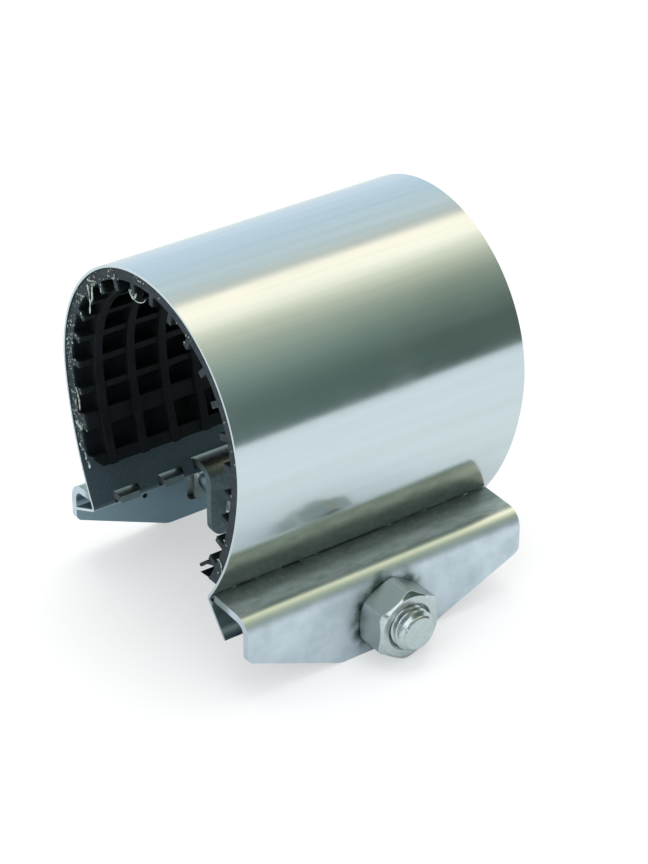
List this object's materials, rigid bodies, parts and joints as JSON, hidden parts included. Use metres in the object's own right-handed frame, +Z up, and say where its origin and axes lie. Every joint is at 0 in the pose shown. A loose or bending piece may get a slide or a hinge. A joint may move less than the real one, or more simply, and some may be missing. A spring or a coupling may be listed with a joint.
{
  "type": "pipe repair coupling",
  "caption": "Sprung stainless band with a waffle rubber mat, closed over a leaking pipe by one bolt through two hooked lugs.",
  "frame": {"origin": "on the axis of the pipe that the coupling grips, at half the band's length", "axes": "+X from the lug that holds the bolt's head to the lug with the nut, +Y along the pipe, +Z up from the lugs to the crown"},
  "size_m": [0.0875, 0.076, 0.0879],
  "materials": {
    "band_steel": "cold rolled, satin",
    "lug_steel": "pressed, satin",
    "bolt_steel": "bright",
    "mat_rubber": "moulded, satin"
  },
  "bodies": {
    "clamp": {"band": "band_steel", "gasket": "mat_rubber", "nut_lug": "lug_steel", "anchor_lug": "lug_steel"},
    "bolt": {"bolt": "bolt_steel"},
    "nut": {"nut": "bolt_steel"}
  },
  "joints": [
    {"name": "nut_spin", "type": "hinge", "parent": "clamp", "child": "nut", "pos_m": [0.04, 0, -0.0444], "axis": [1, 0, 0], "range_deg": [-30, 2760]},
    {"name": "bolt_backoff", "type": "slide", "parent": "clamp", "child": "bolt", "axis": [-1, 0, 0], "range_m": [0, 0.0105]}
  ],
  "couplings": [
    {"joint": "nut_spin", "follows": "bolt_backoff", "rad_per_m": 4188.8}
  ]
}
